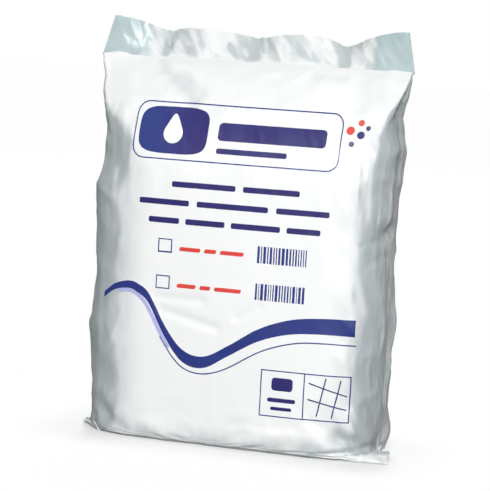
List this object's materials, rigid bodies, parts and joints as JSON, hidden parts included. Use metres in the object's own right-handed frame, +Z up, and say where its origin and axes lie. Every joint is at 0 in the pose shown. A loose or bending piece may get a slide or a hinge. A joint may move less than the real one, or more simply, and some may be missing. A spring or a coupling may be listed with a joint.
{
  "type": "sealed pack of urine leg bags",
  "caption": "Sealed white film pack of urine leg bags, standing on its base, with a flat top seal, side gussets and soft crumpled sides.",
  "frame": {"origin": "on the surface it stands on, under the middle of the pack's box", "axes": "+Z up to the top seal, -Y towards the printed front, +X along the seal to the viewer's right"},
  "size_m": [0.2476, 0.0854, 0.313],
  "materials": {
    "white_film": "glossy, slightly crumpled polythene film",
    "blue_ink": "flat print on the film, dark blue",
    "violet_ink": "flat print on the film, violet blue",
    "red_ink": "flat print on the film, red"
  },
  "bodies": {
    "root": {"film_pack": "white_film"}
  },
  "joints": []
}
